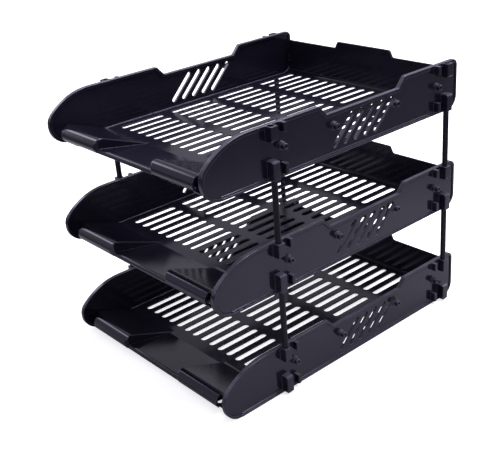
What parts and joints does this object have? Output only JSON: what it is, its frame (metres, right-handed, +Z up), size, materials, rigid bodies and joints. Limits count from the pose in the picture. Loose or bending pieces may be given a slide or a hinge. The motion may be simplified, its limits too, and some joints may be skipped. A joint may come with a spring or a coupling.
{
  "type": "letter tray stack",
  "caption": "Stack of open slotted letter trays on slim round posts, with rolled front lips and finger recesses, for filing paper on a desk.",
  "frame": {"origin": "middle of the footprint, on the surface that the stack stands on", "axes": "+X to the right, +Y from the open front to the back panels, +Z up"},
  "size_m": [0.27, 0.3434, 0.2765],
  "materials": {
    "tray_plastic": "black moulded plastic, semi-gloss",
    "post_plastic": "black rod, smooth"
  },
  "bodies": {
    "bottom_tier": {"lower_base": "tray_plastic", "lower_left_side": "tray_plastic", "lower_right_side": "tray_plastic", "lower_back": "tray_plastic", "lower_post_front_left": "post_plastic", "lower_post_front_right": "post_plastic", "lower_post_rear_left": "post_plastic", "lower_post_rear_right": "post_plastic"},
    "middle_tier": {"middle_base": "tray_plastic", "middle_left_side": "tray_plastic", "middle_right_side": "tray_plastic", "middle_back": "tray_plastic", "middle_post_front_left": "post_plastic", "middle_post_front_right": "post_plastic", "middle_post_rear_left": "post_plastic", "middle_post_rear_right": "post_plastic"},
    "top_tier": {"upper_base": "tray_plastic", "upper_left_side": "tray_plastic", "upper_right_side": "tray_plastic", "upper_back": "tray_plastic"}
  },
  "joints": [
    {"name": "middle_tier_lift", "type": "slide", "parent": "bottom_tier", "child": "middle_tier", "axis": [0, 0, 1], "range_m": [0, 0.03]},
    {"name": "top_tier_lift", "type": "slide", "parent": "middle_tier", "child": "top_tier", "axis": [0, 0, 1], "range_m": [0, 0.03]}
  ]
}
